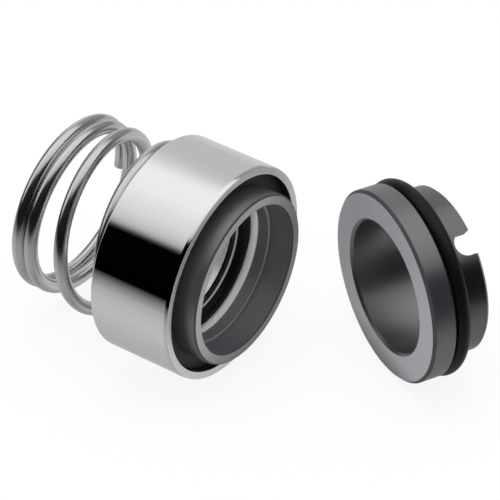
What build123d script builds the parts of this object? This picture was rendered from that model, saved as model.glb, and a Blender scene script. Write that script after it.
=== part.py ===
from build123d import *
from math import cos, sin, radians
import os

# Mechanical seal for a 22 mm shaft: a rotating head and a stationary seat, laid apart on a bench.
# All sizes are in millimetres. X is the axis of the head and points out of its sealing face,
# Z is up, and the origin is the centre of that face.

# shaft that the seal is made for
shaft_d = 22.0

# rotating face ring, from its lapped face backwards
nose_bore_gap = 2.24        # radial, round the shaft
nose_wall = 1.96
nose_chamfer = 0.26
nose_bore_depth = 4.67
tail_bore_gap = 1.7         # radial, behind the step in the bore
flange_height = 2.4
flange_thickness = 2.2
face_standoff = 2.92        # face ahead of the casing's rim
recess_depth = 1.6          # flange behind the casing's rim

# thrust ring between the face ring and the shaft O-ring
thrust_ring_thickness = 1.4
thrust_ring_bore_gap = 1.4
thrust_ring_side_gap = 0.3

# shaft O-ring and its groove in the casing
shaft_ring_section = 3.0
shaft_ring_squeeze = 0.3    # its free bore is this much under the shaft, radially
groove_gap = 0.05

# casing, turned from one bar
casing_wall = 1.4
rim_bevel_length = 0.65
rim_bevel_height = 0.12     # a shallow polished run-out
rim_inner_chamfer = 0.1
rear_edge_radius = 0.35
rear_inner_chamfer = 0.4
web_thickness = 2.05
web_bore_gap = 0.3
spring_pocket_depth = 5.12
spring_pocket_wall = 2.1

# spring, wound right-handed from round wire
wire_d = 2.4
spring_free_length = 25.6
open_pitch = 8.28
coil_gap = 0.08             # left between the closed coils
rear_closed_turns = 1.75
front_closed_turns = 1.0
pitch_blend_turns = 0.09
rear_coil_gap = 2.36        # closed rear coils to shaft
front_coil_gap = 0.32       # front coil to its pocket
spring_seat_gap = 0.1
cone_start_turns = 2.13
cone_end_turns = 2.7
tail_flare = 1.1            # the cut end springs out
tail_flare_turns = 0.25
coil_lean = 0.87            # the closed rear coils lean off square, as unground ends do
coil_lean_clock = -9.9      # degrees from the top
coil_lean_fade_turns = 0.125
tail_clock = -99.0          # degrees from the top to the cut end
points_per_turn = 18

# stationary seat
seat_bore_gap = 0.55
seat_bore_chamfer = 0.45
seat_boss_wall = 2.82
seat_flange_height = 2.44
seat_flange_thickness = 4.47
seat_face_chamfer = 0.48
seat_length = 11.88
seat_rear_chamfer = 0.5
notch_width = 4.15
notch_depth = 3.6
notch_clock = -35.1         # degrees from the top

# O-ring of the seat
seat_ring_section = 2.75
seat_ring_gap = 0.01        # to boss
seat_ring_flange_gap = 0.05

# where the seat lies beside the head
seat_x = 18.36
seat_y = 13.11
seat_turn = -118.4          # degrees about Z, from the head's axis to the seat's

# radii worked out from the shaft outwards
shaft_r = shaft_d / 2
nose_bore_r = shaft_r + nose_bore_gap
nose_r = nose_bore_r + nose_wall
tail_bore_r = shaft_r + tail_bore_gap
flange_r = nose_r + flange_height
casing_r = flange_r + casing_wall
thrust_ring_bore_r = shaft_r + thrust_ring_bore_gap
thrust_ring_r = flange_r - thrust_ring_side_gap
shaft_ring_r = shaft_r - shaft_ring_squeeze + shaft_ring_section / 2
groove_r = shaft_ring_r + shaft_ring_section / 2 + groove_gap
web_bore_r = shaft_r + web_bore_gap
spring_pocket_r = casing_r - spring_pocket_wall
wire_r = wire_d / 2
rear_coil_r = shaft_r + rear_coil_gap + wire_r
front_coil_r = spring_pocket_r - front_coil_gap - wire_r
seat_bore_r = shaft_r + seat_bore_gap
seat_boss_r = seat_bore_r + seat_boss_wall
seat_flange_r = seat_boss_r + seat_flange_height
seat_ring_r = seat_boss_r + seat_ring_gap + seat_ring_section / 2

# stations along X, from the sealing face backwards
rim_x = -face_standoff
flange_front_x = rim_x - recess_depth
flange_rear_x = flange_front_x - flange_thickness
thrust_rear_x = flange_rear_x - thrust_ring_thickness
groove_rear_x = thrust_rear_x - shaft_ring_section - groove_gap
web_rear_x = groove_rear_x - web_thickness
casing_rear_x = web_rear_x - spring_pocket_depth
spring_front_x = web_rear_x - spring_seat_gap - wire_r
spring_rear_x = spring_front_x - spring_free_length + wire_d

# turns of the spring at its open pitch, from its free length
closed_pitch = wire_d + coil_gap
closed_rise = closed_pitch * (rear_closed_turns + front_closed_turns)
blend_rise = (closed_pitch + open_pitch) * pitch_blend_turns
open_turns = (spring_front_x - spring_rear_x - closed_rise - blend_rise) / open_pitch
opening_turn = rear_closed_turns
closing_turn = opening_turn + pitch_blend_turns + open_turns
spring_turns = closing_turn + pitch_blend_turns + front_closed_turns

# the seat's O-ring and the casing lie on one bench
seat_axis_z = seat_ring_r + seat_ring_section / 2 - casing_r
seat_place = Location((seat_x, seat_y, seat_axis_z), (0, 0, seat_turn))


def turned(corners):
    """A piece turned about X, from the (x, radius) corners of its section."""
    return revolve(make_face(Polyline(*corners, close=True)), Axis.X)


def edge_at(piece, x, r):
    """The round edges of a turned piece at one station and radius."""
    rings = piece.edges().filter_by(GeomType.CIRCLE)
    return rings.filter_by(lambda e: abs(e.arc_center.X - x) < 1e-4 and abs(e.radius - r) < 1e-4)


def make_casing():
    shell = turned([
        (rim_x, flange_r), (rim_x, casing_r), (casing_rear_x, casing_r),
        (casing_rear_x, spring_pocket_r), (web_rear_x, spring_pocket_r), (web_rear_x, web_bore_r),
        (groove_rear_x, web_bore_r), (groove_rear_x, groove_r), (thrust_rear_x, groove_r),
        (thrust_rear_x, flange_r),
    ])
    shell = fillet(edge_at(shell, casing_rear_x, casing_r), rear_edge_radius)
    shell = chamfer(edge_at(shell, casing_rear_x, spring_pocket_r), rear_inner_chamfer)
    shell = chamfer(edge_at(shell, rim_x, flange_r), rim_inner_chamfer)
    bevel = turned([
        (rim_x, casing_r - rim_bevel_height), (rim_x, casing_r + 1),
        (rim_x - rim_bevel_length, casing_r + 1), (rim_x - rim_bevel_length, casing_r),
    ])
    return shell - bevel


def make_face_ring():
    ring = turned([
        (0, nose_bore_r), (0, nose_r), (flange_front_x, nose_r), (flange_front_x, flange_r),
        (flange_rear_x, flange_r), (flange_rear_x, tail_bore_r), (-nose_bore_depth, tail_bore_r),
        (-nose_bore_depth, nose_bore_r),
    ])
    return chamfer(edge_at(ring, 0, nose_r), nose_chamfer)


def make_thrust_ring():
    return turned([
        (flange_rear_x, thrust_ring_bore_r), (flange_rear_x, thrust_ring_r),
        (thrust_rear_x, thrust_ring_r), (thrust_rear_x, thrust_ring_bore_r),
    ])


def make_o_ring(x, ring_r, section):
    return Pos(x, 0, 0) * Rot(0, 90, 0) * Torus(ring_r, section / 2)


def eased(turn, start, length):
    """0 before start, 1 after start + length, smooth between."""
    u = min(max((turn - start) / length, 0), 1)
    return u * u * (3 - 2 * u)


def eased_area(turn, start, length):
    """The area under eased() up to a turn."""
    u = min(max((turn - start) / length, 0), 1)
    return length * (u**3 - u**4 / 2) + max(turn - start - length, 0)


def wire_point(turn):
    """The middle of the wire, some turns from the cut rear end."""
    clock = radians(tail_clock + 360 * turn)
    opened = eased_area(turn, opening_turn, pitch_blend_turns)
    opened -= eased_area(turn, closing_turn, pitch_blend_turns)
    lean = coil_lean * cos(clock - radians(coil_lean_clock))
    lean *= 1 - eased(turn, opening_turn + pitch_blend_turns, coil_lean_fade_turns)
    x = spring_rear_x + closed_pitch * turn + (open_pitch - closed_pitch) * opened + lean
    cone = min(max((turn - cone_start_turns) / (cone_end_turns - cone_start_turns), 0), 1)
    r = rear_coil_r + (front_coil_r - rear_coil_r) * cone
    r += tail_flare * (1 - eased(turn, 0, tail_flare_turns))
    return x, -r * sin(clock), r * cos(clock)


def make_spring():
    steps = round(spring_turns * points_per_turn)
    wire = Spline(*[wire_point(spring_turns * i / steps) for i in range(steps + 1)])
    cut_end = Plane(origin=wire @ 0, z_dir=wire % 0) * Circle(wire_r)
    return sweep(cut_end, path=wire)


def make_seat():
    body = turned([
        (0, seat_bore_r), (0, seat_flange_r), (-seat_flange_thickness, seat_flange_r),
        (-seat_flange_thickness, seat_boss_r), (-seat_length, seat_boss_r),
        (-seat_length, seat_bore_r),
    ])
    body = chamfer(edge_at(body, 0, seat_flange_r), seat_face_chamfer)
    body = chamfer(edge_at(body, 0, seat_bore_r), seat_bore_chamfer)
    body = chamfer(edge_at(body, -seat_length, seat_boss_r), seat_rear_chamfer)
    # the notch for the housing's pin is round at its end and open to the rear
    pin_x = -seat_length + notch_depth - notch_width / 2
    slot = Pos(pin_x, 0, 0) * Circle(notch_width / 2)
    slot += Pos(pin_x - notch_depth / 2, 0, 0) * Rectangle(notch_depth, notch_width)
    cutter = extrude(slot, amount=seat_flange_r)
    return body - Rot(notch_clock, 0, 0) * cutter


nodes = {
    "casing": make_casing(),
    "face_ring": make_face_ring(),
    "thrust_ring": make_thrust_ring(),
    "head_o_ring": make_o_ring(thrust_rear_x - groove_gap / 2 - shaft_ring_section / 2,
                               shaft_ring_r, shaft_ring_section),
    "spring": make_spring(),
    "stationary_seat": seat_place * make_seat(),
    "seat_o_ring": seat_place * make_o_ring(
        -seat_flange_thickness - seat_ring_flange_gap - seat_ring_section / 2,
        seat_ring_r, seat_ring_section),
}

os.makedirs("parts", exist_ok=True)
for name, piece in nodes.items():
    export_step(piece, f"parts/{name}.step")
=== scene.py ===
import math
import bpy
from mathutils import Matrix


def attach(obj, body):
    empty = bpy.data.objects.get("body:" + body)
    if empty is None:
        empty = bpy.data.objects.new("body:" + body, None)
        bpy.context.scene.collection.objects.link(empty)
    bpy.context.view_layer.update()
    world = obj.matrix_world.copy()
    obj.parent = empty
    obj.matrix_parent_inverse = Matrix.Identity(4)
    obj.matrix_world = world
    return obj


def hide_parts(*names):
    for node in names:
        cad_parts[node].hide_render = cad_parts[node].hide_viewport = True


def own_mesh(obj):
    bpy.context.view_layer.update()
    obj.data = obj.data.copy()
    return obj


# Mechanical seal for a 22 mm shaft: the spring-loaded rotating head and the stationary seat beside it.
# Sizes are in millimetres and go into the meshes in metres; X is the head's axis, Z is up.

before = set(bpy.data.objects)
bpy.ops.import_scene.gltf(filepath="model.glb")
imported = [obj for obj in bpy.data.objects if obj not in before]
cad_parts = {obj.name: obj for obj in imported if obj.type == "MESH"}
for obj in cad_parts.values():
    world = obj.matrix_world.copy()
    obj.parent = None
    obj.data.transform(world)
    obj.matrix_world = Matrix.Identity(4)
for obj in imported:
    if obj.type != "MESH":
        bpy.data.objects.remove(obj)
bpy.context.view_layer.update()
mm = 0.001
squareOn = 0.99                                           # a face that looks this far along X is square to it
print("frame loaded")


def deselectAll():
    if bpy.context.object and bpy.context.object.mode != "OBJECT":
        bpy.ops.object.mode_set(mode="OBJECT")
    bpy.ops.object.select_all(action="DESELECT")


def makeActive(obj):
    deselectAll()
    obj.select_set(True)
    bpy.context.view_layer.objects.active = obj


def selectWhere(obj, test):
    # selects in edit mode the vertices whose place passes the test
    makeActive(obj)
    bpy.ops.object.mode_set(mode="EDIT")
    bpy.ops.mesh.select_mode(type="VERT")
    bpy.ops.mesh.select_all(action="DESELECT")
    bpy.ops.object.mode_set(mode="OBJECT")
    for vertex in obj.data.vertices:
        vertex.select = test(vertex.co)
    bpy.ops.object.mode_set(mode="EDIT")


def applyModifier(obj, kind, **settings):
    makeActive(obj)
    bpy.ops.object.modifier_add(type=kind)
    modifier = obj.modifiers[-1]
    for key, value in settings.items():
        setattr(modifier, key, value)
    bpy.ops.object.modifier_apply(modifier=modifier.name)


def cleanMesh(mergeMm=0.0005):
    # in edit mode: merges doubles, then turns all faces outwards
    bpy.ops.mesh.select_all(action="SELECT")
    bpy.ops.mesh.remove_doubles(threshold=mergeMm * mm)
    bpy.ops.mesh.normals_make_consistent(inside=False)
    bpy.ops.object.mode_set(mode="OBJECT")


def turnOnLathe(name, corners, steps=224):
    # draws the section corner by corner, as (x, radius), and spins it about X
    deselectAll()
    bpy.ops.mesh.primitive_plane_add(size=mm)
    ring = bpy.context.object
    ring.name = name
    bpy.ops.object.mode_set(mode="EDIT")
    bpy.ops.mesh.select_all(action="SELECT")
    bpy.ops.mesh.merge(type="CENTER")                     # the plane shrinks to the section's first corner
    bpy.ops.transform.translate(value=(corners[0][0] * mm, 0, corners[0][1] * mm))
    for (x0, r0), (x1, r1) in zip(corners, corners[1:]):
        step = ((x1 - x0) * mm, 0, (r1 - r0) * mm)
        bpy.ops.mesh.extrude_vertices_move(TRANSFORM_OT_translate={"value": step})
    bpy.ops.mesh.select_all(action="SELECT")
    bpy.ops.mesh.edge_face_add()                          # closes the section, whose face isn't needed
    bpy.ops.mesh.delete(type="ONLY_FACE")
    bpy.ops.mesh.select_all(action="SELECT")
    bpy.ops.mesh.spin(steps=steps, angle=2 * math.pi, center=(0, 0, 0), axis=(1, 0, 0))
    cleanMesh()
    return ring


def finishEdges(obj, width, breakFrom=25, smoothUpTo=50, faceWeight=80):
    # breaks every edge that turns by more than breakFrom degrees, and shades the rest smooth
    applyModifier(obj, "BEVEL", width=width * mm, segments=2, limit_method="ANGLE",
                  angle_limit=math.radians(breakFrom), use_clamp_overlap=True)
    makeActive(obj)
    bpy.ops.object.shade_smooth_by_angle(angle=math.radians(smoothUpTo))
    applyModifier(obj, "WEIGHTED_NORMAL", mode="FACE_AREA", weight=faceWeight, keep_sharp=True)


def quarterArc(x, r, radius, start, end, count=12):
    # corners of a rounded edge, as part of a section
    angles = [math.radians(start + (end - start) * i / count) for i in range(count + 1)]
    return [(x + radius * math.cos(a), r + radius * math.sin(a)) for a in angles]


def srgb(code):
    # "#RRGGBB" as the linear colour that the shaders work in
    parts = [int(code[i:i + 2], 16) / 255 for i in (1, 3, 5)]
    return tuple(c / 12.92 if c <= 0.04045 else ((c + 0.055) / 1.055) ** 2.4 for c in parts) + (1,)


def addNode(tree, kind, inputs=None, **settings):
    # a node with its settings; an input is a value, or the output socket that feeds it
    node = tree.nodes.new(kind)
    for key, value in settings.items():
        setattr(node, key, value)
    for key, value in (inputs or {}).items():
        if isinstance(value, bpy.types.NodeSocket):
            tree.links.new(value, node.inputs[key])
        else:
            node.inputs[key].default_value = value
    return node


def newMaterial(name, colour, **inputs):
    # a Principled material; returns it, its node tree and its shader
    material = bpy.data.materials.new(name)
    material.use_nodes = True
    shader = material.node_tree.nodes["Principled BSDF"]
    shader.inputs["Base Color"].default_value = srgb(colour)
    for key, value in inputs.items():
        shader.inputs[key].default_value = value
    return material, material.node_tree, shader


def setRamp(ramp, stops, low=0, high=1):
    # stops are (place from low to high, grey or colour)
    while len(ramp.elements) > 1:
        ramp.elements.remove(ramp.elements[-1])
    for i, (place, tone) in enumerate(stops):
        share = (place - low) / (high - low)
        stop = ramp.elements[0] if i == 0 else ramp.elements.new(share)
        stop.position = share
        stop.color = tone if isinstance(tone, tuple) else (tone, tone, tone, 1)


def finishPiece(obj, body, node, slotName, *materials):
    # gives a piece its finishes and the body it rides on, and hides the solid it stands for
    obj.data.materials.clear()
    for material in materials:
        obj.data.materials.append(material)
    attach(obj, body)
    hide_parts(node)
    print("piece done:", obj.name, len(obj.data.polygons), "faces")


def chooseFinish(obj, finishAt):
    # gives each face the finish for its place along the axis, its radius and how far it looks along X
    for face in obj.data.polygons:
        radius = math.hypot(face.center.y, face.center.z) / mm
        finish = finishAt(face.center.x / mm, radius, face.normal.x)
        face.material_index = obj.data.materials.find(finish.name)


def roundTheAxis(tree, acrossMm, alongTurns):
    # coordinates for marks that run round the X axis: fine across it, long round it
    place = addNode(tree, "ShaderNodeTexCoord")
    xyz = addNode(tree, "ShaderNodeSeparateXYZ", {"Vector": place.outputs["Object"]})
    y2 = addNode(tree, "ShaderNodeMath", {0: xyz.outputs["Y"], 1: xyz.outputs["Y"]}, operation="MULTIPLY")
    r2 = addNode(tree, "ShaderNodeMath", {0: xyz.outputs["Z"], 1: xyz.outputs["Z"], 2: y2.outputs[0]},
                 operation="MULTIPLY_ADD")
    r = addNode(tree, "ShaderNodeMath", {0: r2.outputs[0]}, operation="SQRT")
    angle = addNode(tree, "ShaderNodeMath", {0: xyz.outputs["Y"], 1: xyz.outputs["Z"]}, operation="ARCTAN2")
    along = addNode(tree, "ShaderNodeMath", {0: angle.outputs[0], 1: alongTurns}, operation="MULTIPLY")
    scale = 1 / (acrossMm * mm)
    radial = addNode(tree, "ShaderNodeMath", {0: r.outputs[0], 1: scale}, operation="MULTIPLY")
    axial = addNode(tree, "ShaderNodeMath", {0: xyz.outputs["X"], 1: scale}, operation="MULTIPLY")
    joined = addNode(tree, "ShaderNodeCombineXYZ", {"X": axial.outputs[0], "Y": radial.outputs[0],
                                                    "Z": along.outputs[0]})
    return joined.outputs["Vector"]


def buffedSteel():
    # stainless ground and then buffed round to a near mirror, with the faintest haze and lines
    look = dict(colour="#F6F6F6", roughness=0.04, hazeSpread=0.3, lineMm=0.35, lineTurns=0.6,
                lineHeightMm=0.00003)
    material, tree, shader = newMaterial("buffed stainless barrel", look["colour"], Metallic=1.0,
                                         Roughness=look["roughness"])
    rounds = roundTheAxis(tree, look["lineMm"], look["lineTurns"])
    lines = addNode(tree, "ShaderNodeTexNoise", {"Vector": rounds, "Scale": 1.0, "Detail": 2.0})
    haze = addNode(tree, "ShaderNodeMapRange", {"Value": lines.outputs["Fac"],
                                                "To Min": look["roughness"] * (1 - look["hazeSpread"]),
                                                "To Max": look["roughness"] * (1 + look["hazeSpread"])})
    tree.links.new(haze.outputs[0], shader.inputs["Roughness"])
    bump = addNode(tree, "ShaderNodeBump", {"Height": lines.outputs["Fac"], "Strength": 1.0,
                                            "Distance": look["lineHeightMm"] * mm})
    tree.links.new(bump.outputs["Normal"], shader.inputs["Normal"])
    return material


def turnedSteel(name, colour, roughness, grooveMm, grooveHeightMm, grooveTurns=0.5, metallic=1.0,
                darkest=0.75):
    # stainless as it leaves the lathe tool: fine grooves round the axis that break up the shine
    material, tree, shader = newMaterial(name, colour, Metallic=metallic, Roughness=roughness)
    # a real feed of 0.05 mm is too fine to show, so the grooves are drawn coarser
    rounds = roundTheAxis(tree, grooveMm, grooveTurns)
    grooves = addNode(tree, "ShaderNodeTexNoise", {"Vector": rounds, "Scale": 1.0, "Detail": 4.0,
                                                   "Roughness": 0.6})
    tone = addNode(tree, "ShaderNodeMapRange", {"Value": grooves.outputs["Fac"], "From Min": 0.3,
                                                "From Max": 0.7, "To Min": darkest, "To Max": 1.0})
    mix = addNode(tree, "ShaderNodeMix", {0: 1.0, 6: srgb(colour), 7: tone.outputs[0]},
                  data_type="RGBA", blend_type="MULTIPLY")
    tree.links.new(mix.outputs[2], shader.inputs["Base Color"])
    bump = addNode(tree, "ShaderNodeBump", {"Height": grooves.outputs["Fac"], "Strength": 1.0,
                                            "Distance": grooveHeightMm * mm})
    tree.links.new(bump.outputs["Normal"], shader.inputs["Normal"])
    return material


def drawnWire():
    # spring wire drawn through a die and not polished: satin, with fine lines along its length
    look = dict(colour="#CBCBCC", paleColour="#E2E2E3", roughness=0.19, lineScale=7.0, lineHeightMm=0.001)
    material, tree, shader = newMaterial("drawn stainless spring wire", look["colour"], Metallic=1.0,
                                         Roughness=look["roughness"])
    along = addNode(tree, "ShaderNodeAttribute", attribute_name="alongWire")
    lines = addNode(tree, "ShaderNodeTexNoise", {"Vector": along.outputs["Vector"],
                                                 "Scale": look["lineScale"], "Detail": 3.0,
                                                 "Roughness": 0.6})
    tone = addNode(tree, "ShaderNodeValToRGB", {"Fac": lines.outputs["Fac"]})
    setRamp(tone.color_ramp, [(0.3, srgb(look["colour"])), (0.62, srgb(look["paleColour"]))])
    tree.links.new(tone.outputs["Color"], shader.inputs["Base Color"])
    bump = addNode(tree, "ShaderNodeBump", {"Height": lines.outputs["Fac"], "Strength": 1.0,
                                            "Distance": look["lineHeightMm"] * mm})
    tree.links.new(bump.outputs["Normal"], shader.inputs["Normal"])
    return material


def siliconCarbide(name, colour, paleColour, roughness, grainMm, grainHeightMm, index=2.65,
                   roughnessSpread=0.15, shadeMm=0, shadeFrom=0.65, darkest=0.0):
    # sintered silicon carbide: a dark grey ceramic with a high index, so it shines like half a metal
    material, tree, shader = newMaterial(name, colour, Roughness=roughness, IOR=index)
    place = addNode(tree, "ShaderNodeTexCoord")
    # a grain of 5 to 10 microns is too fine to show, so its mottling is drawn coarser
    grain = addNode(tree, "ShaderNodeTexNoise", {"Vector": place.outputs["Object"],
                                                 "Scale": 1 / (grainMm * mm), "Detail": 3.0})
    tone = addNode(tree, "ShaderNodeValToRGB", {"Fac": grain.outputs["Fac"]})
    setRamp(tone.color_ramp, [(0.3, srgb(colour)), (0.75, srgb(paleColour))])
    shown = tone.outputs["Color"]
    if shadeMm:
        # painted shade: the base colour of a matte lapped face goes darker, by ambient occlusion, where the
        # floor or another piece stands close to it
        near = addNode(tree, "ShaderNodeAmbientOcclusion", {"Distance": shadeMm * mm})
        depth = addNode(tree, "ShaderNodeMapRange", {"Value": near.outputs["AO"],
                                                     "From Min": shadeFrom, "To Min": darkest})
        shaded = addNode(tree, "ShaderNodeMix", {0: 1.0, 6: shown, 7: depth.outputs[0]},
                         data_type="RGBA", blend_type="MULTIPLY")
        shown = shaded.outputs[2]
    tree.links.new(shown, shader.inputs["Base Color"])
    matte = addNode(tree, "ShaderNodeMapRange", {"Value": grain.outputs["Fac"],
                                                 "To Min": roughness * (1 - roughnessSpread),
                                                 "To Max": roughness * (1 + roughnessSpread)})
    tree.links.new(matte.outputs[0], shader.inputs["Roughness"])
    bump = addNode(tree, "ShaderNodeBump", {"Height": grain.outputs["Fac"], "Strength": 1.0,
                                            "Distance": grainHeightMm * mm})
    tree.links.new(bump.outputs["Normal"], shader.inputs["Normal"])
    return material


def mouldedRubber(name, colour, paleColour, roughness, index, grainMm, grainHeightMm):
    # moulded fluoroelastomer: a soft sheen and a slightly uneven skin
    material, tree, shader = newMaterial(name, colour, Roughness=roughness, IOR=index)
    place = addNode(tree, "ShaderNodeTexCoord")
    skin = addNode(tree, "ShaderNodeTexNoise", {"Vector": place.outputs["Object"],
                                                "Scale": 1 / (grainMm * mm), "Detail": 4.0})
    tone = addNode(tree, "ShaderNodeValToRGB", {"Fac": skin.outputs["Fac"]})
    setRamp(tone.color_ramp, [(0.35, srgb(colour)), (0.7, srgb(paleColour))])
    tree.links.new(tone.outputs["Color"], shader.inputs["Base Color"])
    bump = addNode(tree, "ShaderNodeBump", {"Height": skin.outputs["Fac"], "Strength": 1.0,
                                            "Distance": grainHeightMm * mm})
    tree.links.new(bump.outputs["Normal"], shader.inputs["Normal"])
    return material


barrelSteel = buffedSteel()
# the rim is faced on the lathe: a satin land, partly painted light: a fifth of it is diffuse white, which
# keeps it pale where a mirror would show a dark patch
landSteel = turnedSteel("faced stainless", "#EFEFEF", roughness=0.36, grooveMm=0.06, grooveHeightMm=0.006,
                        metallic=0.8, darkest=0.85)
# its inner chamfer is a thin white line: a painted highlight, in white steel that is mostly diffuse
edgeHighlightSteel = turnedSteel("stainless edge with painted highlight", "#FFFFFF", roughness=0.5, grooveMm=0.3,
                             grooveHeightMm=0.001, metallic=0.2, darkest=0.95)
# the counterbore is reamed to size round the face ring: smooth, and drawn dark grey, painted shade for lying
# down in the gap
counterboreSteel = turnedSteel("reamed stainless", "#4A4B51", roughness=0.3, grooveMm=0.25,
                               grooveHeightMm=0.0006, metallic=0.8)
# the spring pocket and groove are bored: dull grey rings of tool marks
boredSteel = turnedSteel("bored stainless", "#E8E8E8", roughness=0.34, grooveMm=0.3, grooveHeightMm=0.006)
# the web's bore is drawn bright, with soft marks: painted light, a white steel that is half diffuse, for the
# light that comes in through the rings
webSteel = turnedSteel("bored stainless web", "#FFFFFF", roughness=0.24, grooveMm=0.3, grooveHeightMm=0.004,
                       metallic=0.45, darkest=0.85)
# the thrust ring is drawn an even, pale satin: painted light, white steel that is nearly all diffuse, for its
# bright reflections down in the bore
washerSteel = turnedSteel("satin stainless washer", "#FFFFFF", roughness=0.22, grooveMm=0.3,
                          grooveHeightMm=0.004, metallic=0.1, darkest=0.9)
springSteel = drawnWire()

# the sealing faces are lapped flat with diamond: an even mid grey without a clear reflection, with painted
# shade that darkens it near the floor and the other piece. The seat's is paler, and its painted shade is less
# deep and reaches less far
lappedCarbide = siliconCarbide("lapped silicon carbide face", "#8F9094", "#9A9B9F", roughness=0.36,
                               grainMm=0.12, grainHeightMm=0.0006, shadeMm=17)
lappedSeatCarbide = siliconCarbide("lapped silicon carbide seat", "#999CA1", "#A3A6AB", roughness=0.36,
                                   grainMm=0.12, grainHeightMm=0.0006, index=2.0, shadeMm=6.5, darkest=0.3)
# the outsides are ground round: dark, with soft broad highlights
groundCarbide = siliconCarbide("ground silicon carbide", "#24262B", "#2F3137", roughness=0.3,
                               grainMm=0.15, grainHeightMm=0.0015)
noseCarbide = siliconCarbide("ground silicon carbide nose", "#363637", "#414143", roughness=0.34,
                             grainMm=0.15, grainHeightMm=0.0015)
# the step in the bore is ground flat: a thin pale line, a painted highlight in a paler grey than the bore
stepCarbide = siliconCarbide("ground silicon carbide step", "#8C8E92", "#96989C", roughness=0.4,
                             grainMm=0.2, grainHeightMm=0.001)
# the seat's bore is honed: darker and a little glossier than the outside
boreCarbide = siliconCarbide("honed silicon carbide bore", "#1C1D20", "#26272B", roughness=0.34,
                             grainMm=0.2, grainHeightMm=0.0015, index=2.9)
# what no tool touched keeps its skin from the furnace: the boss is nearly black and shiny
bossCarbide = siliconCarbide("as-sintered silicon carbide boss", "#0C0C0E", "#161719", roughness=0.24,
                             grainMm=0.2, grainHeightMm=0.002, index=2.5)
# and the face ring's bore, its shoulder and the edges are matte and dull; the shoulder down in the recess and
# the flange edge beside the seat's O-ring are drawn near black, as painted shade
sinteredCarbide = siliconCarbide("as-sintered silicon carbide bore", "#383A40", "#44464D", roughness=0.5,
                                 grainMm=0.2, grainHeightMm=0.003)
shoulderCarbide = siliconCarbide("silicon carbide shoulder in painted shade", "#23252B", "#2D2F36", roughness=0.6,
                                 grainMm=0.2, grainHeightMm=0.003, index=1.5)
# painted shade: near black for the seat flange's rear and its edge, in the gap beside the O-ring
edgeCarbide = siliconCarbide("silicon carbide edge in painted shade", "#0E0F10", "#17181A", roughness=0.6,
                             grainMm=0.2, grainHeightMm=0.003, index=1.5)
chamferCarbide = siliconCarbide("unground silicon carbide chamfer", "#37383A", "#424345", roughness=0.5,
                                grainMm=0.2, grainHeightMm=0.002, index=1.5)

# near black, with a faint broad sheen
rubber = mouldedRubber("moulded black rubber", "#080809", "#101011", roughness=0.4, index=1.34,
                       grainMm=0.5, grainHeightMm=0.004)
# a pale glossy band on the head O-ring's inner crest: a painted highlight
crestHighlightRubber = mouldedRubber("rubber crest with painted highlight", "#C0C0C0", "#C9C9C9", roughness=0.2, index=1.5,
                            grainMm=0.3, grainHeightMm=0.0005)
print("materials done")


# the casing, turned from one bar: rim, counterbore, O-ring groove, web and spring pocket
casing = dict(rimX=-2.92, outerR=19.0, faceRingR=17.6, bevelLength=0.65, bevelHeight=0.12, innerChamfer=0.1,
              rearX=-18.34, rearRadius=0.35, rearChamfer=0.4, pocketR=16.9, webRearX=-13.22, webFrontX=-11.17,
              webBoreR=11.3, grooveR=13.75, grooveFrontX=-8.12, edge=0.04, edgeAngle=8.5, slack=0.02)


def makeCasing(c):
    corners = [(c["rimX"], c["faceRingR"] + c["innerChamfer"]), (c["rimX"], c["outerR"] - c["bevelHeight"]),
               (c["rimX"] - c["bevelLength"], c["outerR"])]
    corners += quarterArc(c["rearX"] + c["rearRadius"], c["outerR"] - c["rearRadius"], c["rearRadius"],
                          start=90, end=180)
    corners += [(c["rearX"], c["pocketR"] + c["rearChamfer"]), (c["rearX"] + c["rearChamfer"], c["pocketR"]),
                (c["webRearX"], c["pocketR"]), (c["webRearX"], c["webBoreR"]),
                (c["webFrontX"], c["webBoreR"]), (c["webFrontX"], c["grooveR"]),
                (c["grooveFrontX"], c["grooveR"]), (c["grooveFrontX"], c["faceRingR"]),
                (c["rimX"] - c["innerChamfer"], c["faceRingR"])]
    shell = turnOnLathe("casing_shell", corners)
    finishEdges(shell, c["edge"], c["edgeAngle"])
    return shell


def casingFinish(x, radius, facing):
    c = casing
    if facing > squareOn and x > c["rimX"] - c["slack"]:
        return landSteel
    # painted highlight: the rim's inner chamfer gets the white edge steel
    if radius < c["faceRingR"] + c["innerChamfer"] + c["slack"] and x > c["rimX"] - c["innerChamfer"]:
        return edgeHighlightSteel
    if radius > c["outerR"] - c["rearRadius"] - c["slack"] or x > c["rimX"] - c["innerChamfer"]:
        return barrelSteel                                # the bevel and the rear edge are buffed with it
    if x > c["grooveFrontX"]:
        return counterboreSteel
    if radius < c["webBoreR"] + c["slack"]:
        return webSteel
    return boredSteel


casingShell = makeCasing(casing)
finishPiece(casingShell, "head", "casing", "polished_steel", barrelSteel, landSteel, counterboreSteel,
            boredSteel, edgeHighlightSteel, webSteel)
chooseFinish(casingShell, casingFinish)


# the rotating face ring, with its nose out of the casing and its flange down in the counterbore
faceRing = dict(boreR=13.24, boreChamfer=0.15, noseR=15.2, noseChamfer=0.26, flangeR=17.58,
                flangeFrontX=-4.52, flangeRearX=-6.72, stepX=-4.67, tailBoreR=12.7, edge=0.05, slack=0.01,
                stepFacing=0.5)


def makeFaceRing(c):
    corners = [(0, c["boreR"] + c["boreChamfer"]), (0, c["noseR"] - c["noseChamfer"]),
               (-c["noseChamfer"], c["noseR"]), (c["flangeFrontX"], c["noseR"]),
               (c["flangeFrontX"], c["flangeR"]), (c["flangeRearX"], c["flangeR"]),
               (c["flangeRearX"], c["tailBoreR"]), (c["stepX"], c["tailBoreR"]), (c["stepX"], c["boreR"]),
               (-c["boreChamfer"], c["boreR"])]
    ring = turnOnLathe("face_ring_ceramic", corners)
    finishEdges(ring, c["edge"])
    return ring


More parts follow.
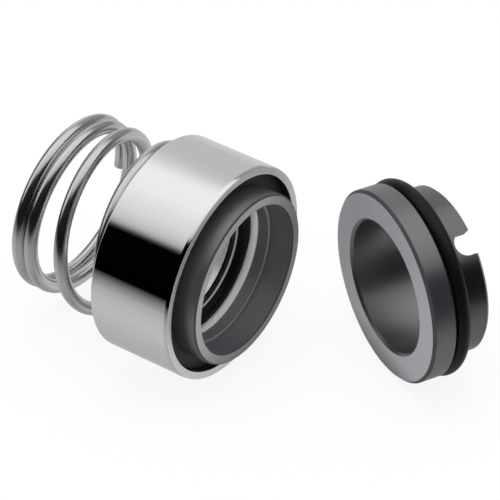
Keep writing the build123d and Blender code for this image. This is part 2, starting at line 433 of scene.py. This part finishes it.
def faceRingFinish(x, radius, facing):
    c = faceRing
    if facing > squareOn and x > -c["slack"]:
        return lappedCarbide
    # painted highlight: the bore's step gets the paler grey
    if radius < c["boreR"] and facing > c["stepFacing"]:
        return stepCarbide
    if x > -c["noseChamfer"] - c["slack"]:
        return chamferCarbide                             # both edges round the lapped face
    if radius < c["boreR"] + c["slack"]:
        return sinteredCarbide
    # painted shade: the shoulder down in the recess is drawn near black
    if x < c["flangeFrontX"] + c["edge"] and radius > c["noseR"] - c["edge"]:
        return shoulderCarbide
    return noseCarbide


faceRingPiece = makeFaceRing(faceRing)
finishPiece(faceRingPiece, "head", "face_ring", "seal_face", noseCarbide, lappedCarbide, sinteredCarbide,
            shoulderCarbide, stepCarbide, chamferCarbide)
chooseFinish(faceRingPiece, faceRingFinish)


# the thrust ring, between the face ring and the shaft O-ring
thrustRing = dict(frontX=faceRing["flangeRearX"], rearX=casing["grooveFrontX"], boreR=12.4, outerR=17.3,
                  edge=0.12)


def makeThrustRing(c):
    corners = [(c["frontX"], c["boreR"]), (c["frontX"], c["outerR"]), (c["rearX"], c["outerR"]),
               (c["rearX"], c["boreR"])]
    ring = turnOnLathe("thrust_washer", corners)
    finishEdges(ring, c["edge"])
    return ring


finishPiece(makeThrustRing(thrustRing), "head", "thrust_ring", "bright_steel", washerSteel)


# the O-rings: one in the head's groove, one behind the seat's flange
# the head ring's flash line is drawn wide, and crestDepth sets how far from its inner crest the painted
# highlight reaches
headORing = dict(x=-9.645, ringR=12.2, section=3.0, flashWidth=0.36, flashHeight=0.03, crestDepth=0.006)
seatORing = dict(x=-5.895, ringR=15.755, section=2.75, flashWidth=0.12, flashHeight=0.01)
# where the seat lies beside the head: its O-ring rests on the same bench as the casing
seatPlace = dict(x=18.36, y=13.11, z=seatORing["ringR"] + seatORing["section"] / 2 - casing["outerR"],
                 turn=-118.4)


def makeORing(name, c, lineSlack=0.001, crestSlack=0.01):
    deselectAll()
    bpy.ops.mesh.primitive_torus_add(location=(c["x"] * mm, 0, 0), rotation=(0, math.pi / 2, 0),
                                     major_radius=c["ringR"] * mm, minor_radius=c["section"] / 2 * mm,
                                     major_segments=192, minor_segments=48)
    ring = bpy.context.object
    ring.name = name
    bpy.ops.object.transform_apply(location=True, rotation=True, scale=True)
    # the mould leaves a fine flash line round the outside and the inside
    for side in (1, -1):
        crest = (c["ringR"] + side * c["section"] / 2) * mm
        selectWhere(ring, lambda p: abs(math.hypot(p.y, p.z) - crest) < lineSlack * mm)
        bpy.ops.mesh.bevel(offset=c["flashWidth"] / 2 * mm, segments=2, profile=0.5)
        bpy.ops.object.mode_set(mode="OBJECT")
        selectWhere(ring, lambda p: abs(p.x - c["x"] * mm) < lineSlack * mm
                    and abs(math.hypot(p.y, p.z) - crest) < crestSlack * mm)
        swell = 1 + side * c["flashHeight"] * mm / crest
        bpy.ops.transform.resize(value=(1, swell, swell), center_override=(c["x"] * mm, 0, 0))
        bpy.ops.object.mode_set(mode="OBJECT")
    makeActive(ring)
    bpy.ops.object.shade_smooth()
    return ring


def headORingFinish(x, radius, facing):
    # painted highlight: the faces on the inner crest, on the side of the bore, get the pale band
    onCrest = radius < headORing["ringR"] - headORing["section"] / 2 + headORing["crestDepth"]
    return crestHighlightRubber if onCrest else rubber


def putInPlace(obj):
    # from the seat's own axis to where it lies beside the head, with the place in the mesh
    makeActive(obj)
    obj.rotation_euler = (0, 0, math.radians(seatPlace["turn"]))
    obj.location = (seatPlace["x"] * mm, seatPlace["y"] * mm, seatPlace["z"] * mm)
    bpy.ops.object.transform_apply(location=True, rotation=True, scale=True)


headORingPiece = makeORing("shaft_o_ring_rubber", headORing)
finishPiece(headORingPiece, "head", "head_o_ring", "black_rubber", rubber, crestHighlightRubber)
chooseFinish(headORingPiece, headORingFinish)
seatORingPiece = makeORing("seat_o_ring_rubber", seatORing)
putInPlace(seatORingPiece)
finishPiece(seatORingPiece, "seat", "seat_o_ring", "black_rubber", rubber)


# the spring: closed rear coils with a flared cut end, open coils on a cone, one closed coil in the casing
spring = dict(wireR=1.2, rearX=-37.72, closedPitch=2.48, openPitch=8.28, openingTurn=1.75, blendTurns=0.09,
              openTurns=1.8613, frontClosedTurns=1.0, rearR=14.56, frontR=15.38, coneStart=2.13, coneEnd=2.7,
              tailFlare=1.1, tailFlareTurns=0.25, lean=0.87, leanClock=-9.9, leanFade=0.125, tailClock=-99.0,
              stepsPerTurn=110, wireFacets=32, smoothUpTo=40,
              lineStretch=0.02,                    # slows the pattern along the wire, so its lines run long
              squashFromX=-38.9, squashKeep=0.609)  # the rear end, and the share of length left when pressed


def eased(turn, start, length):
    # 0 before start, 1 after start + length, smooth between
    u = min(max((turn - start) / length, 0), 1)
    return u * u * (3 - 2 * u)


def easedArea(turn, start, length):
    # the area under eased up to a turn
    u = min(max((turn - start) / length, 0), 1)
    return length * (u**3 - u**4 / 2) + max(turn - start - length, 0)


def wirePoint(turn, c):
    # the middle of the wire, some turns from the cut rear end
    closingTurn = c["openingTurn"] + c["blendTurns"] + c["openTurns"]
    clock = math.radians(c["tailClock"] + 360 * turn)
    opened = easedArea(turn, c["openingTurn"], c["blendTurns"])
    opened -= easedArea(turn, closingTurn, c["blendTurns"])
    lean = c["lean"] * math.cos(clock - math.radians(c["leanClock"]))
    lean *= 1 - eased(turn, c["openingTurn"] + c["blendTurns"], c["leanFade"])
    x = c["rearX"] + c["closedPitch"] * turn + (c["openPitch"] - c["closedPitch"]) * opened + lean
    cone = min(max((turn - c["coneStart"]) / (c["coneEnd"] - c["coneStart"]), 0), 1)
    r = c["rearR"] + (c["frontR"] - c["rearR"]) * cone
    r += c["tailFlare"] * (1 - eased(turn, 0, c["tailFlareTurns"]))
    return x * mm, -r * math.sin(clock) * mm, r * math.cos(clock) * mm


def makeSpring(c):
    turns = c["openingTurn"] + 2 * c["blendTurns"] + c["openTurns"] + c["frontClosedTurns"]
    count = round(turns * c["stepsPerTurn"]) + 1
    centres = [wirePoint(turns * i / (count - 1), c) for i in range(count)]
    curve = bpy.data.curves.new("spring_wire", "CURVE")
    curve.dimensions = "3D"
    curve.bevel_depth = c["wireR"] * mm
    curve.bevel_resolution = c["wireFacets"] // 2 - 2
    curve.use_fill_caps = True
    curve.twist_mode = "MINIMUM"
    line = curve.splines.new("POLY")
    line.points.add(count - 1)
    for point, centre in zip(line.points, centres):
        point.co = (*centre, 1)
    wire = bpy.data.objects.new("spring_wire", curve)
    bpy.context.collection.objects.link(wire)
    makeActive(wire)
    bpy.ops.object.convert(target="MESH")
    wire = bpy.context.object
    # where each point is along the wire and round it, for the drawing lines
    ringSize = len(wire.data.vertices) // count
    along = wire.data.attributes.new("alongWire", "FLOAT_VECTOR", "POINT")
    length = 0.0
    for i in range(count):
        if i:
            length += math.dist(centres[i], centres[i - 1])
        for j in range(ringSize):
            around = 2 * math.pi * j / ringSize
            onWire = (length / mm * c["lineStretch"], math.cos(around), math.sin(around))
            along.data[i * ringSize + j].vector = onWire
    makeActive(wire)
    bpy.ops.object.mode_set(mode="EDIT")
    cleanMesh()
    bpy.ops.object.shade_smooth_by_angle(angle=math.radians(c["smoothUpTo"]))
    return wire


springWire = makeSpring(spring)
finishPiece(springWire, "spring", "spring", "spring_wire", springSteel)


# the stationary seat: flange with the lapped face, boss behind it, and the notch for the housing's pin
seat = dict(boreR=11.55, boreChamfer=0.45, bossR=14.37, flangeR=16.81, flangeThickness=4.47, flangeEdge=0.43,
            faceChamfer=0.48, length=11.88, rearChamfer=0.5, edge=0.07, slack=0.02,
            notchWidth=4.15, notchDepth=3.6, notchClock=-35.1, cutterSides=64, cutterHeight=8)


def makeNotchCutter(c, middleSlack=0.001):
    # a round pin stretched out to the rear and turned to its place
    pinX = -c["length"] + c["notchDepth"] - c["notchWidth"] / 2
    deselectAll()
    bpy.ops.mesh.primitive_cylinder_add(vertices=c["cutterSides"], radius=c["notchWidth"] / 2 * mm,
                                        depth=c["cutterHeight"] * mm,
                                        location=(pinX * mm, 0, c["bossR"] * mm))
    cutter = bpy.context.object
    bpy.ops.object.transform_apply(location=True, rotation=True, scale=True)
    selectWhere(cutter, lambda p: p.x < (pinX - middleSlack) * mm)
    bpy.ops.transform.translate(value=(-c["notchDepth"] * mm, 0, 0))
    bpy.ops.object.mode_set(mode="OBJECT")
    cutter.rotation_euler = (math.radians(c["notchClock"]), 0, 0)
    makeActive(cutter)
    bpy.ops.object.transform_apply(location=True, rotation=True, scale=True)
    return cutter


def makeSeat(c):
    corners = [(0, c["boreR"] + c["boreChamfer"]), (0, c["flangeR"] - c["faceChamfer"]),
               (-c["faceChamfer"], c["flangeR"]), (-c["flangeThickness"] + c["flangeEdge"], c["flangeR"]),
               (-c["flangeThickness"], c["flangeR"] - c["flangeEdge"]),
               (-c["flangeThickness"], c["bossR"]), (-c["length"] + c["rearChamfer"], c["bossR"]),
               (-c["length"], c["bossR"] - c["rearChamfer"]), (-c["length"], c["boreR"]),
               (-c["boreChamfer"], c["boreR"])]
    body = turnOnLathe("seat_ceramic", corners)
    cutter = makeNotchCutter(c)
    applyModifier(body, "BOOLEAN", operation="DIFFERENCE", solver="EXACT", object=cutter)
    bpy.data.objects.remove(cutter)
    makeActive(body)
    bpy.ops.object.mode_set(mode="EDIT")
    cleanMesh()
    finishEdges(body, c["edge"])
    return body


def seatFinish(x, radius, facing):
    c = seat
    if facing > squareOn and x > -c["slack"]:
        return lappedSeatCarbide
    if x < -c["flangeThickness"] - c["edge"] and radius > c["boreR"] + c["edge"]:
        return bossCarbide                                # the notch's walls too
    if radius < c["boreR"] + c["slack"]:
        return boreCarbide
    # painted shade in the gap beside the O-ring
    atRear = -c["flangeThickness"] - c["slack"] < x < -c["flangeThickness"] + c["flangeEdge"]
    if atRear and radius > c["bossR"] + c["edge"]:
        return edgeCarbide                                # the flange's rear and its edge, beside the O-ring
    if x > -c["faceChamfer"] and radius > c["bossR"]:
        return chamferCarbide
    return groundCarbide


seatPiece = makeSeat(seat)
finishPiece(seatPiece, "seat", "stationary_seat", "seal_face", groundCarbide, lappedSeatCarbide, bossCarbide,
            boreCarbide, chamferCarbide, edgeCarbide)
chooseFinish(seatPiece, seatFinish)
putInPlace(seatPiece)

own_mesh(springWire)


# the floor, the light and what polished metal sees round it. Places round the part are parts of the unit
# vector to them: Z is the height, X goes from left to right and Y from front to back
studio = dict(
    floorSize=3000, floorGap=0.01, floorWhite=0.88,  # the share seen as plain white; the rest takes shadow
    lampX=-50, lampY=-50, lampZ=800, lampSize=700, lampWatts=3.0, plainLevel=0.85,
    # each pair is where a part of the surroundings starts to show and where it shows in full
    wallAbove=(-0.09, -0.06), wallBehind=(-0.1, 0.35),
    # on the right the table ends lower
    tableDrop=0.075, dropRight=(-0.44, 0.0),
    # tones of the table by height, from straight below up to the horizon
    frontTable=((-1, 0.38), (-0.9, 0.44), (-0.83, 0.48), (-0.7, 0.53), (-0.52, 0.5), (-0.38, 0.42),
                (-0.23, 0.2), (-0.11, 0.0)),
    backTable=((-1, 0.4), (-0.9, 0.42), (-0.75, 0.47), (-0.55, 0.65), (-0.3, 0.6), (-0.1, 0.55)),
    # shade on the table in front, and tones of the wall behind, from left to right
    tableShade=((-0.44, 1.0), (-0.2, 0.8), (0.4, 0.8), (1.0, 0.7)),
    wall=((-1, 0.15), (-0.9, 0.25), (-0.8, 0.5), (-0.75, 0.6), (-0.65, 0.66), (-0.61, 0.6), (-0.58, 0.56),
          (-0.53, 0.525), (-0.44, 0.52), (-0.34, 0.35), (-0.2, 0.31), (0.37, 0.25), (0.65, 0.12),
          (0.85, 0.0)))

# the softbox, drawn on a level plane: but for above, its places are shares of the plane's height
softbox = dict(
    turn=34, lowestRise=0.02,                      # degrees about Z; the plane is cut off near the horizon
    above=(0.1, 0.2), front=(-0.6, -0.53), back=(1.07, 0.99), right=(1.65, 1.0), span=(-1, 1.5),
    # its front edge steps forward on the right
    stepForward=0.21, stepRight=(-0.6, -0.25), stepFront=(0.45, 0.1),
    # tones from front to back
    tones=((-0.53, 0), (-0.47, 0.05), (-0.42, 0.19), (-0.38, 0.34), (-0.34, 0.44), (-0.3, 0.52),
           (-0.26, 0.565), (-0.16, 0.66), (-0.06, 0.725), (0.03, 0.765), (0.09, 0.79), (0.23, 0.85),
           (0.38, 0.895), (0.5, 0.907), (0.65, 0.893), (0.73, 0.86), (0.77, 0.83), (0.86, 0.766),
           (0.97, 0.69), (1.08, 0.64)))


def makeFloor(c):
    deselectAll()
    bpy.ops.mesh.primitive_plane_add(size=c["floorSize"] * mm,
                                     location=(0, 0, -(casing["outerR"] + c["floorGap"]) * mm))
    floor = bpy.context.object
    floor.name = "floor"
    material, tree, shader = newMaterial("white paper sweep", "#F4F4F2", Roughness=0.9)
    # the camera sees the sweep almost white, with a faint shadow left on it
    light = addNode(tree, "ShaderNodeLightPath")
    seen = addNode(tree, "ShaderNodeMath", {0: light.outputs["Is Camera Ray"], 1: c["floorWhite"]},
                   operation="MULTIPLY")
    glow = addNode(tree, "ShaderNodeEmission", {"Color": (1, 1, 1, 1), "Strength": 1.0})
    both = addNode(tree, "ShaderNodeMixShader", {0: seen.outputs[0], 1: shader.outputs[0],
                                                 2: glow.outputs[0]})
    tree.links.new(both.outputs[0], tree.nodes["Material Output"].inputs["Surface"])
    floor.data.materials.append(material)
    floor.visible_glossy = False


def makeRoom(tree, c, place, xyz):
    # the table below and the wall around, by height above the horizon and by the way round
    level = addNode(tree, "ShaderNodeVectorMath", {0: place.outputs["Generated"], 1: (1, 1, 0)},
                    operation="MULTIPLY")
    way = addNode(tree, "ShaderNodeVectorMath", {0: level.outputs["Vector"]}, operation="NORMALIZE")
    wayXyz = addNode(tree, "ShaderNodeSeparateXYZ", {"Vector": way.outputs["Vector"]})
    drop = addNode(tree, "ShaderNodeMapRange", {"Value": wayXyz.outputs["X"], "From Min": c["dropRight"][0],
                                                "From Max": c["dropRight"][1], "To Max": c["tableDrop"]})
    sunk = addNode(tree, "ShaderNodeMath", {0: xyz.outputs["Z"], 1: drop.outputs[0]}, operation="ADD")
    ramps = {}
    for name, value in (("frontTable", sunk.outputs[0]), ("backTable", sunk.outputs[0]),
                        ("tableShade", wayXyz.outputs["X"]), ("wall", wayXyz.outputs["X"])):
        share = addNode(tree, "ShaderNodeMapRange", {"Value": value, "From Min": -1, "From Max": 1})
        ramps[name] = addNode(tree, "ShaderNodeValToRGB", {"Fac": share.outputs[0]})
        setRamp(ramps[name].color_ramp, c[name], -1, 1)
    behind = addNode(tree, "ShaderNodeMapRange", {"Value": wayXyz.outputs["Y"],
                                                  "From Min": c["wallBehind"][0],
                                                  "From Max": c["wallBehind"][1]},
                     interpolation_type="SMOOTHSTEP")
    front = addNode(tree, "ShaderNodeMix", {0: 1.0, 6: ramps["frontTable"].outputs["Color"],
                                            7: ramps["tableShade"].outputs["Color"]},
                    data_type="RGBA", blend_type="MULTIPLY")
    table = addNode(tree, "ShaderNodeMix", {0: behind.outputs[0], 6: front.outputs[2],
                                            7: ramps["backTable"].outputs["Color"]}, data_type="RGBA")
    wall = addNode(tree, "ShaderNodeMix", {0: behind.outputs[0], 6: (0, 0, 0, 1),
                                           7: ramps["wall"].outputs["Color"]}, data_type="RGBA")
    overTable = addNode(tree, "ShaderNodeMapRange", {"Value": xyz.outputs["Z"], "From Min": c["wallAbove"][0],
                                                     "From Max": c["wallAbove"][1]})
    room = addNode(tree, "ShaderNodeMix", {0: overTable.outputs[0], 6: table.outputs[2],
                                           7: wall.outputs[2]}, data_type="RGBA")
    return room.outputs[2]


def makeSoftbox(tree, c, place, xyz):
    # a flat box overhead; returns its tones, and where it shows
    rise = addNode(tree, "ShaderNodeMath", {0: xyz.outputs["Z"], 1: c["lowestRise"]}, operation="MAXIMUM")
    spread = addNode(tree, "ShaderNodeMath", {0: 1.0, 1: rise.outputs[0]}, operation="DIVIDE")
    onPlane = addNode(tree, "ShaderNodeVectorMath", {0: place.outputs["Generated"],
                                                     "Scale": spread.outputs[0]}, operation="SCALE")
    turned = addNode(tree, "ShaderNodeMapping", {"Vector": onPlane.outputs["Vector"],
                                                 "Rotation": (0, 0, -math.radians(c["turn"]))})
    uv = addNode(tree, "ShaderNodeSeparateXYZ", {"Vector": turned.outputs["Vector"]})
    toRight = addNode(tree, "ShaderNodeMapRange", {"Value": uv.outputs["X"], "From Min": c["stepRight"][0],
                                                   "From Max": c["stepRight"][1],
                                                   "To Max": c["stepForward"]},
                      interpolation_type="SMOOTHSTEP")
    toFront = addNode(tree, "ShaderNodeMapRange", {"Value": uv.outputs["Y"], "From Min": c["stepFront"][0],
                                                   "From Max": c["stepFront"][1]},
                      interpolation_type="SMOOTHSTEP")
    depth = addNode(tree, "ShaderNodeMath", {0: toRight.outputs[0], 1: toFront.outputs[0],
                                             2: uv.outputs["Y"]}, operation="MULTIPLY_ADD")
    share = addNode(tree, "ShaderNodeMapRange", {"Value": depth.outputs[0], "From Min": c["span"][0],
                                                 "From Max": c["span"][1]})
    glow = addNode(tree, "ShaderNodeValToRGB", {"Fac": share.outputs[0]})
    setRamp(glow.color_ramp, c["tones"], *c["span"])
    above = addNode(tree, "ShaderNodeMapRange", {"Value": xyz.outputs["Z"], "From Min": c["above"][0],
                                                 "From Max": c["above"][1]})
    inside = above.outputs[0]
    for value, (start, full), fade in ((depth.outputs[0], c["front"], "LINEAR"),
                                       (uv.outputs["Y"], c["back"], "LINEAR"),
                                       (uv.outputs["X"], c["right"], "SMOOTHSTEP")):
        edge = addNode(tree, "ShaderNodeMapRange", {"Value": value, "From Min": start, "From Max": full},
                       interpolation_type=fade)
        both = addNode(tree, "ShaderNodeMath", {0: inside, 1: edge.outputs[0]}, operation="MULTIPLY")
        inside = both.outputs[0]
    return glow.outputs["Color"], inside


def makeStudio(c):
    # what polished metal sees: a softbox overhead, a grey wall behind, a dark room in front, a pale table
    world = bpy.data.worlds.new("studio")
    world.use_nodes = True
    bpy.context.scene.world = world
    tree = world.node_tree
    tree.nodes.clear()
    place = addNode(tree, "ShaderNodeTexCoord")
    xyz = addNode(tree, "ShaderNodeSeparateXYZ", {"Vector": place.outputs["Generated"]})
    room = makeRoom(tree, c, place, xyz)
    glow, inside = makeSoftbox(tree, softbox, place, xyz)
    surround = addNode(tree, "ShaderNodeMix", {0: inside, 6: room, 7: glow}, data_type="RGBA")
    panorama = addNode(tree, "ShaderNodeBackground", {"Color": surround.outputs[2], "Strength": 1.0})

    # plain light for matte surfaces, and a white background for the camera
    plain = addNode(tree, "ShaderNodeBackground", {"Color": (1, 1, 1, 1), "Strength": c["plainLevel"]})
    white = addNode(tree, "ShaderNodeBackground", {"Color": (1, 1, 1, 1), "Strength": 1.0})
    light = addNode(tree, "ShaderNodeLightPath")
    shiny = addNode(tree, "ShaderNodeMath", {0: light.outputs["Is Glossy Ray"],
                                             1: light.outputs["Is Transmission Ray"]}, operation="MAXIMUM")
    lit = addNode(tree, "ShaderNodeMixShader", {0: shiny.outputs[0], 1: plain.outputs[0],
                                                2: panorama.outputs[0]})
    seen = addNode(tree, "ShaderNodeMixShader", {0: light.outputs["Is Camera Ray"], 1: lit.outputs[0],
                                                 2: white.outputs[0]})
    addNode(tree, "ShaderNodeOutputWorld", {"Surface": seen.outputs[0]})

    # one soft lamp overhead for the shadows; the metal already shows the softbox
    deselectAll()
    bpy.ops.object.light_add(type="AREA", location=(c["lampX"] * mm, c["lampY"] * mm, c["lampZ"] * mm))
    lamp = bpy.context.object
    lamp.data.shape = "SQUARE"
    lamp.data.size = c["lampSize"] * mm
    lamp.data.energy = c["lampWatts"]
    lamp.visible_glossy = False


# the camera stands far off with a long lens; its turn is counted from looking along Y
view = dict(x=224.185, y=-323.194, z=329.451, azimuth=34.70, elevation=39.39, lens=223.5, sensor=36,
            clipStart=10, clipEnd=20000)


def makeCamera(c):
    deselectAll()
    bpy.ops.object.camera_add(location=(c["x"] * mm, c["y"] * mm, c["z"] * mm),
                              rotation=(math.radians(90 - c["elevation"]), 0, math.radians(c["azimuth"])))
    camera = bpy.context.object
    camera.data.lens = c["lens"]
    camera.data.sensor_width = c["sensor"]
    camera.data.clip_start = c["clipStart"] * mm
    camera.data.clip_end = c["clipEnd"] * mm
    bpy.context.scene.camera = camera


makeFloor(studio)
makeStudio(studio)
makeCamera(view)
bpy.context.scene.view_settings.view_transform = "Standard"
print("studio done")
